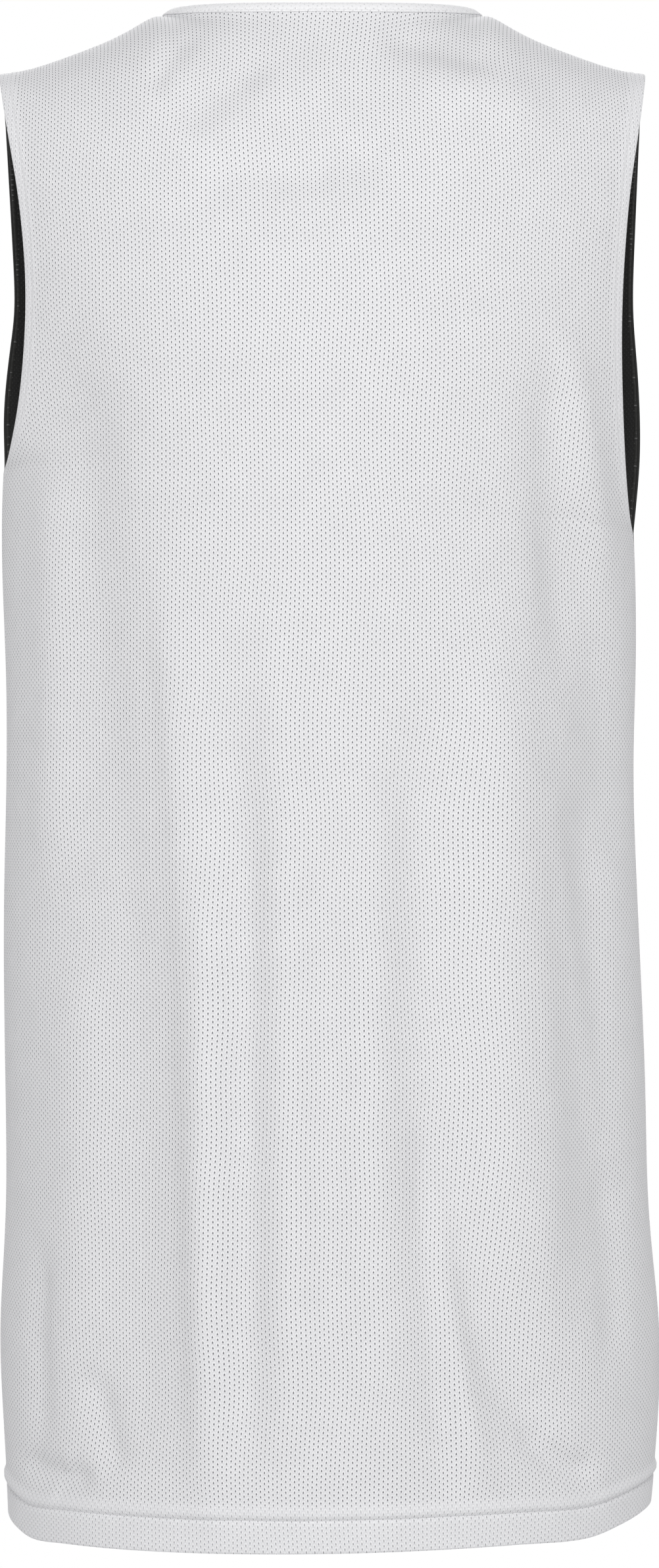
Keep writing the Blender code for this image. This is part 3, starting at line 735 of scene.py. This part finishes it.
def inner_sheet(panel, form, material):
    """The dark inner layer, its edges turned out towards the outer layer."""
    turned_out = [(distance, -depth) for distance, depth in rolled(EDGE_ROLL, SEAM_ALLOWANCE, 2, 4)]
    edge = turned_out + in_metres(LINING_COLUMNS)
    hem = [(LINING_HEM + distance, -depth) for distance, depth in rolled(EDGE_ROLL, LINING_ALLOWANCE, 3, 4)]
    hem += in_metres(LINING_ROWS, LINING_HEM)
    top = turned_out[::-1]

    def depth_of(rows_at):
        return LINING_DEPTH + (HEM_WALL - WALL) * (1 - step_up(rows_at, *LINING_CLEARS))

    laid = lay(panel, form, meeting(edge), hem, meeting(top), INNER_GRID, depth_of)
    turned = (1 - step_up(laid.from_side, *LINING_BAND)) * above_underarm(laid)
    surface = laid.points + laid.normals * laid.lift[..., None]
    return sheet_object(f"{panel.place}_inner", surface, laid.cloth, turned, -panel.side, material)


# ---------------- binding and stitches

# The binding's section, once round, in millimetres: how far below the neck edge, and how far out from
# the outer layer
Turn = namedtuple("Turn", "down out")
BINDING_SECTION = (
    Turn(5.60, 0.30), Turn(5.95, 0.50), Turn(6.05, 0.85), Turn(5.85, 1.15),
    Turn(5.40, 1.32), Turn(5.05, 1.24), Turn(4.85, 1.12), Turn(4.65, 1.24),
    Turn(4.20, 1.40), Turn(3.00, 1.55), Turn(1.80, 1.50), Turn(0.80, 1.22),
    Turn(-0.10, 0.66), Turn(-0.80, -0.15), Turn(-1.10, -1.25), Turn(-0.80, -2.35),
    Turn(-0.10, -3.16), Turn(0.80, -3.66), Turn(2.40, -3.84), Turn(4.20, -3.78),
    Turn(4.85, -3.60), Turn(5.40, -3.74), Turn(5.90, -3.56), Turn(6.00, -3.20),
    Turn(5.60, -2.84), Turn(3.00, -2.80), Turn(0.60, -2.74), Turn(-0.30, -1.25),
    Turn(0.60, 0.26), Turn(3.00, 0.28),
)
BINDING_STATIONS = 3 * 2 * NECK_STEPS


def ring_smooth(values, passes):
    """A closed ring of points, evened out."""
    for _ in range(passes):
        values = (np.roll(values, 1, axis=0) + 2 * values + np.roll(values, -1, axis=0)) / 4
    return values


def ring_sample(values, count):
    """A closed ring of points at more places, on a smooth curve through them."""
    wrapped = np.concatenate([values[-2:], values, values[:3]])
    at = 2 + np.arange(count) * len(values) / count
    return sample(wrapped, at)


def binding(back_form, front_form, material):
    """The folded strip round the neck, and the line that its stitches follow."""
    neck = slice(SHOULDER_STEPS, SHOULDER_STEPS + NECK_STEPS + 1)
    around = np.concatenate([back_form[:, neck], front_form[:, neck][:, -2:0:-1]], axis=1)
    top, low, facing = around[TOP, :, :3], around[YOKE_TOP, :, :3], around[TOP, :, 3:6]
    down = (low - top) / np.linalg.norm(low - top, axis=1, keepdims=True)
    top, down, facing = (ring_sample(ring_smooth(v, 3), BINDING_STATIONS) for v in (top, down, facing))
    facing -= down * np.sum(facing * down, axis=1, keepdims=True)
    facing /= np.linalg.norm(facing, axis=1, keepdims=True)
    run = np.linalg.norm(np.roll(top, -1, axis=0) - top, axis=1)
    length = np.concatenate([[0], np.cumsum(run)])
    whole_stitches = round(length[-1] / NECK_STITCH.pitch)
    pucker = np.cos(2 * math.pi * whole_stitches * length[:-1] / length[-1])
    turns = np.array(BINDING_SECTION) * MM
    swell = pucker[:, None] * soft_line(turns[:, 0], Line(NECK_STITCH_DOWN, PUCKER_WIDTH, PUCKER))[None]
    out = turns[None, :, 1] + swell * np.sign(turns[None, :, 1] - BINDING_MIDDLE)
    points = top[:, None] + down[:, None] * turns[None, :, :1] + facing[:, None] * out[..., None]
    stations, corners = points.shape[:2]
    wrap = np.linalg.norm(np.diff(np.concatenate([turns, turns[:1]]), axis=0), axis=1)
    across_at = np.concatenate([[0], np.cumsum(wrap)])
    faces, cloth = [], []
    for s in range(stations):
        for c in range(corners):
            after, up = (s + 1) % stations, (c + 1) % corners
            faces.append((s * corners + c, s * corners + up, after * corners + up, after * corners + c))
            u0, u1, v0, v1 = length[s], length[s + 1], across_at[c], across_at[c + 1]
            cloth += [(u0, v0), (u0, v1), (u1, v1), (u1, v0)]
    obj = mesh_object("neck_binding", points.reshape(-1, 3).tolist(), faces, material, cloth)
    line = top + down * NECK_STITCH_DOWN + facing * NECK_STITCH_OUT
    return obj, (np.concatenate([line, line[:1]]), np.concatenate([facing, facing[:1]]))


# A stitch's rings from end to end: share of its length, share of its thickness, millimetres off the cloth
Thread = namedtuple("Thread", "share thick rise")
THREAD = (
    Thread(0.00, 0.35, -0.22),
    Thread(0.10, 0.80, 0.00),
    Thread(0.32, 1.00, 0.12),
    Thread(0.68, 1.00, 0.12),
    Thread(0.90, 0.80, 0.00),
    Thread(1.00, 0.35, -0.22),
)
THREAD_SIDES = 6


def stitches(name, lines, stitch, material):
    """Rows of stitches along lines on the cloth, joined into one mesh."""
    points, faces = [], []
    turn = np.linspace(0, 2 * math.pi, THREAD_SIDES, endpoint=False)
    for line, facing in lines:
        run = np.concatenate([[0], np.cumsum(np.linalg.norm(np.diff(line, axis=0), axis=1))])
        count = int(run[-1] / stitch.pitch)

        def at(place, values, run=run):
            return np.array([np.interp(place, run, values[:, axis]) for axis in range(3)])

        for k in range(count):
            start = (k + 0.5) * run[-1] / count - stitch.length / 2
            heading = at(start + stitch.length, line) - at(start, line)
            heading /= np.linalg.norm(heading)
            up = at(start + stitch.length / 2, facing)
            up -= heading * (up @ heading)
            up /= np.linalg.norm(up)
            aside = np.cross(up, heading)
            base = len(points)
            for ring in THREAD:
                centre = at(start + stitch.length * ring.share, line) + up * ring.rise * MM
                for angle in turn:
                    offset = aside * math.cos(angle) + up * math.sin(angle)
                    points.append(centre + offset * stitch.radius * ring.thick)
            for r in range(len(THREAD) - 1):
                ring_base = base + r * THREAD_SIDES
                for c in range(THREAD_SIDES):
                    a, b = ring_base + c, ring_base + (c + 1) % THREAD_SIDES
                    faces.append((a, b, b + THREAD_SIDES, a + THREAD_SIDES))
            end = base + (len(THREAD) - 1) * THREAD_SIDES
            faces.append(tuple(range(base + THREAD_SIDES - 1, base - 1, -1)))
            faces.append(tuple(range(end, end + THREAD_SIDES)))
    obj = mesh_object(name, points, faces, material)
    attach(obj, "root")
    return obj


# ---------------- materials


class Graph:
    """Builds the shader nodes of a material or a world from short calls."""

    def __init__(self, owner):
        self.owner = owner
        owner.use_nodes = True
        self.tree = owner.node_tree
        self.shader = self.tree.nodes.get("Principled BSDF")

    def node(self, kind, **settings):
        made = self.tree.nodes.new(kind)
        for name, value in settings.items():
            setattr(made, name, value)
        return made

    def feed(self, socket, value):
        if isinstance(value, bpy.types.NodeSocket):
            self.tree.links.new(value, socket)
        else:
            socket.default_value = value

    def math(self, operation, *values):
        made = self.node("ShaderNodeMath", operation=operation)
        for socket, value in zip(made.inputs, values):
            self.feed(socket, value)
        return made.outputs[0]

    def step(self, value, start, end):
        """A soft step, from 0 at start to 1 at end."""
        made = self.node("ShaderNodeMapRange", interpolation_type="SMOOTHSTEP")
        self.feed(made.inputs["Value"], value)
        self.feed(made.inputs["From Min"], start)
        self.feed(made.inputs["From Max"], end)
        return made.outputs[0]

    def blend(self, share, low, high):
        made = self.node("ShaderNodeMix", data_type="RGBA")
        self.feed(made.inputs[0], share)
        self.feed(made.inputs[6], low)
        self.feed(made.inputs[7], high)
        return made.outputs[2]

    def total(self, *parts):
        """The sum of each part times its share."""
        made = 0.0
        for part, share in parts:
            made = self.math("MULTIPLY_ADD", part, share, made)
        return made

    def falling(self, value, start, end):
        """A soft step, from 1 at start to 0 at end."""
        return self.math("SUBTRACT", 1.0, self.step(value, start, end))

    def noise(self, vector, scale, detail=2.0):
        made = self.node("ShaderNodeTexNoise")
        self.feed(made.inputs["Vector"], vector)
        made.inputs["Scale"].default_value = scale
        made.inputs["Detail"].default_value = detail
        return made.outputs[0]

    def attribute(self, name):
        return self.node("ShaderNodeAttribute", attribute_name=name).outputs["Fac"]

    def cloth_map(self):
        """The place on the cloth in metres: the vector, and its parts across and up."""
        cloth = self.node("ShaderNodeUVMap", uv_map="cloth").outputs[0]
        split = self.node("ShaderNodeSeparateXYZ")
        self.feed(split.inputs[0], cloth)
        return cloth, split.outputs[0], split.outputs[1]

    def cloth_shader(self, colour, height, relief, roughness, sheen):
        bump = self.node("ShaderNodeBump")
        bump.inputs["Strength"].default_value = 1.0
        bump.inputs["Distance"].default_value = relief
        self.feed(bump.inputs["Height"], height)
        self.feed(self.shader.inputs["Normal"], bump.outputs[0])
        self.feed(self.shader.inputs["Base Color"], colour)
        self.shader.inputs["Roughness"].default_value = roughness
        self.shader.inputs["Specular IOR Level"].default_value = 0.25
        self.shader.inputs["Sheen Weight"].default_value = sheen
        return self.owner


def cell(g, u, v):
    """The place in a cell of the knit, each way from -0.5 to 0.5. Every second column is staggered."""
    across_cells = g.math("DIVIDE", u, HOLE_ACROSS)
    wale = g.math("FLOOR", across_cells)
    x = g.math("SUBTRACT", g.math("SUBTRACT", across_cells, wale), 0.5)
    stagger = g.math("MULTIPLY", g.math("PINGPONG", wale, 1.0), 0.5)
    up_cells = g.math("ADD", g.math("DIVIDE", v, HOLE_UP), stagger)
    return x, g.math("SUBTRACT", g.math("FRACT", up_cells), 0.5)


def hole(g, x, y, width, height, start, end):
    """1 in an oval at the middle of the cell, and 0 outside it."""
    wide = g.math("POWER", g.math("ABSOLUTE", g.math("DIVIDE", x, width)), 2.0)
    tall = g.math("POWER", g.math("ABSOLUTE", g.math("DIVIDE", y, height)), 2.0)
    return g.falling(g.math("ADD", wide, tall), start, end)


def streak(g, side, y, slant, at, start, end):
    """1 along a line that slants down each side of the cell, and 0 away from it."""
    off = g.math("ABSOLUTE", g.math("SUBTRACT", side, g.math("MULTIPLY_ADD", y, slant, at)))
    return g.falling(off, start, end)


def knit(look):
    """Warp-knit eyelet mesh: staggered teardrop holes between V-shaped loops, the loops' light and shade
    painted into the colour.
    """
    g = Graph(bpy.data.materials.new(look.name))
    cloth, u, v = g.cloth_map()
    drift = g.math("SUBTRACT", g.noise(cloth, 9.0, 1.0), 0.5)
    x, y = cell(g, g.math("MULTIPLY_ADD", drift, 0.010, u), v)
    width = g.math("MULTIPLY_ADD", y, -0.30, look.hole_size)
    inside = hole(g, x, y, width, look.hole_size * 1.40, 0.45, 1.35)
    closing = g.math("MULTIPLY_ADD", g.attribute("turned"), look.faint - 1.0, 1.0)
    opened = g.math("MULTIPLY", inside, closing)
    # A loop slants down past each side of the hole, and another leaves its foot: the slanting loops carry a
    # painted highlight, the one at the foot painted shade.
    side = g.math("ABSOLUTE", x)
    ridge = streak(g, side, y, -0.30, 0.24, 0.02, 0.15)
    ridge = g.math("MULTIPLY", ridge, g.step(y, -0.45, -0.12))
    shaded_skirt = streak(g, side, y, -0.75, -0.10, 0.01, 0.13)
    shaded_skirt = g.math("MULTIPLY", shaded_skirt, g.falling(y, -0.20, -0.04))
    yarn, patchy = g.noise(cloth, 2600.0), g.noise(cloth, 60.0, 3.0)
    # Colour: the yarn's uneven tone, plus the painted highlight on the slanting loops and painted shade at
    # the foot.
    tone_and_shading = g.total((ridge, 0.58), (yarn, 0.36), (patchy, 0.24), (shaded_skirt, -0.32))
    colour = g.blend(tone_and_shading, (*look.shade, 1), (*look.thread, 1))
    colour = g.blend(opened, colour, (*look.hole, 1))
    colour = g.blend(g.attribute("faced"), colour, (*FACING, 1))
    height = g.total((ridge, 0.5), (opened, -1.0), (yarn, 0.35))
    return g.cloth_shader(colour, height, look.relief, 0.78, 0.12)


def bound_knit(look):
    """The binding's cloth: the same knit pulled flat, its holes nearly closed and uneven."""
    g = Graph(bpy.data.materials.new(look.name))
    cloth, u, v = g.cloth_map()
    x, y = cell(g, u, v)
    inside = hole(g, x, y, look.hole_size, look.hole_size * 1.25, 0.3, 1.4)
    patchy = g.step(g.noise(cloth, 260.0), 0.42, 0.62)
    opened = g.math("MULTIPLY", inside, g.math("MULTIPLY_ADD", patchy, 0.34, look.faint))
    yarn = g.noise(cloth, 2200.0)
    rib = g.math("SINE", g.math("DIVIDE", u, 0.16 * MM))
    colour = g.blend(yarn, (*look.shade, 1), (*look.thread, 1))
    colour = g.blend(opened, colour, (*look.hole, 1))
    height = g.total((rib, 0.25), (yarn, 0.5), (opened, -1.0))
    return g.cloth_shader(colour, height, look.relief, 0.72, 0.15)


def thread(name, colour):
    """Twisted sewing thread."""
    g = Graph(bpy.data.materials.new(name))
    place = g.node("ShaderNodeTexCoord").outputs["Object"]
    twist = g.node("ShaderNodeTexWave", wave_type="BANDS", bands_direction="DIAGONAL")
    g.feed(twist.inputs["Vector"], place)
    twist.inputs["Scale"].default_value = 900.0
    light = g.blend(twist.outputs[1], (*[c * 0.88 for c in colour], 1), (*colour, 1))
    g.feed(g.shader.inputs["Base Color"], light)
    g.shader.inputs["Roughness"].default_value = 0.45
    g.shader.inputs["Sheen Weight"].default_value = 0.2
    return g.owner


# ---------------- build


def place(obj, node, slot_name):
    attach(obj, "root")
    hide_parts(node)


white_mesh, dark_mesh, binding_mesh = knit(WHITE_KNIT), knit(DARK_KNIT), bound_knit(BINDING_KNIT)
white_thread = thread("white_thread", THREAD_COLOUR)

back_form, front_form = form_of(BACK), form_of(FRONT)
for panel, form in ((BACK, back_form), (FRONT, front_form)):
    outer, hem_line, edge_lines = outer_sheet(panel, form, white_mesh)
    inner = inner_sheet(panel, form, dark_mesh)
    place(outer, f"{panel.place}_panel", "outer_mesh")
    place(inner, f"{panel.place}_lining", "inner_mesh")
    threads = [
        stitches(f"{panel.place}_hem_stitches", [hem_line], EDGE_STITCH, white_thread),
        stitches(f"{panel.place}_armhole_stitches", edge_lines, EDGE_STITCH, white_thread),
    ]

band, neck_line = binding(back_form, front_form, binding_mesh)
place(band, "neck_band", "binding")
neck_thread = stitches("neck_stitches", [neck_line], NECK_STITCH, white_thread)


# ---------------- stage

FLOOR_BELOW, FLOOR_RADIUS = 0.67, 4.3  # how far the floor lies below the hem
ZENITH, HORIZON, NADIR = 0.26, 0.76, 0.52  # the brightness of the surroundings
Light = namedtuple("Light", "name place size watts")
LIGHTS = (
    Light("key_behind", (-0.1, 4.0, 2.1), 2.2, 110),
    Light("key_in_front", (0.1, -4.0, 2.1), 2.2, 100),
)
LIT_POINT = (0, 0, -0.40)
CAMERA_PLACE = (-0.0037, 2.8, -0.397)
LENS = 125.3


def floor():
    """A round pale floor under the jersey, below the view from behind."""
    height = CAD_BOX[0].z - FLOOR_BELOW
    turn = np.linspace(0, 2 * math.pi, 96, endpoint=False)
    points = [(FLOOR_RADIUS * math.cos(a), FLOOR_RADIUS * math.sin(a), height) for a in turn]
    g = Graph(bpy.data.materials.new("floor_paint"))
    g.shader.inputs["Base Color"].default_value = (0.90, 0.90, 0.90, 1)
    g.shader.inputs["Roughness"].default_value = 0.9
    mesh_object("floor", points, [tuple(range(len(points)))], g.owner)


def soft_light(light):
    """A round area light turned to the jersey."""
    data = bpy.data.lights.new(light.name, "AREA")
    data.shape = "DISK"
    data.size = light.size
    data.energy = light.watts
    obj = in_scene(light.name, data)
    obj.location = light.place
    direction = Vector(LIT_POINT) - Vector(light.place)
    obj.rotation_euler = direction.to_track_quat("-Z", "Y").to_euler()
    obj.visible_camera = False


def surroundings():
    """White to the camera. As light, brightest near the horizon and dim overhead."""
    world = bpy.data.worlds.new("studio")
    bpy.context.scene.world = world
    g = Graph(world)
    g.tree.nodes.clear()
    split, ramp = g.node("ShaderNodeSeparateXYZ"), g.node("ShaderNodeValToRGB")
    g.feed(split.inputs[0], g.node("ShaderNodeTexCoord").outputs["Generated"])
    g.feed(ramp.inputs[0], g.math("MULTIPLY_ADD", split.outputs["Z"], 0.5, 0.5))
    stops = ramp.color_ramp.elements
    stops[0].position, stops[0].color = 0.0, (NADIR, NADIR, NADIR, 1)
    stops[1].position, stops[1].color = 1.0, (ZENITH, ZENITH, ZENITH * 1.04, 1)
    stops.new(0.5).color = (HORIZON, HORIZON, HORIZON, 1)
    ramp.color_ramp.interpolation = "EASE"
    light, white = g.node("ShaderNodeBackground"), g.node("ShaderNodeBackground")
    g.feed(light.inputs[0], ramp.outputs[0])
    white.inputs[0].default_value = (1, 1, 1, 1)
    mix = g.node("ShaderNodeMixShader")
    g.feed(mix.inputs[0], g.node("ShaderNodeLightPath").outputs["Is Camera Ray"])
    g.feed(mix.inputs[1], light.outputs[0])
    g.feed(mix.inputs[2], white.outputs[0])
    g.feed(g.node("ShaderNodeOutputWorld").inputs[0], mix.outputs[0])


def camera():
    """Behind the jersey at its own height, level, with the whole garment in the frame."""
    data = bpy.data.cameras.new("camera")
    data.lens = LENS
    data.sensor_width = 36.0
    data.clip_end = 100.0
    obj = in_scene("camera", data)
    obj.location = CAMERA_PLACE
    obj.rotation_euler = (math.radians(90), 0, math.radians(180))
    bpy.context.scene.camera = obj


floor()
surroundings()
for key in LIGHTS:
    soft_light(key)
camera()
bpy.context.scene.view_settings.view_transform = "Standard"
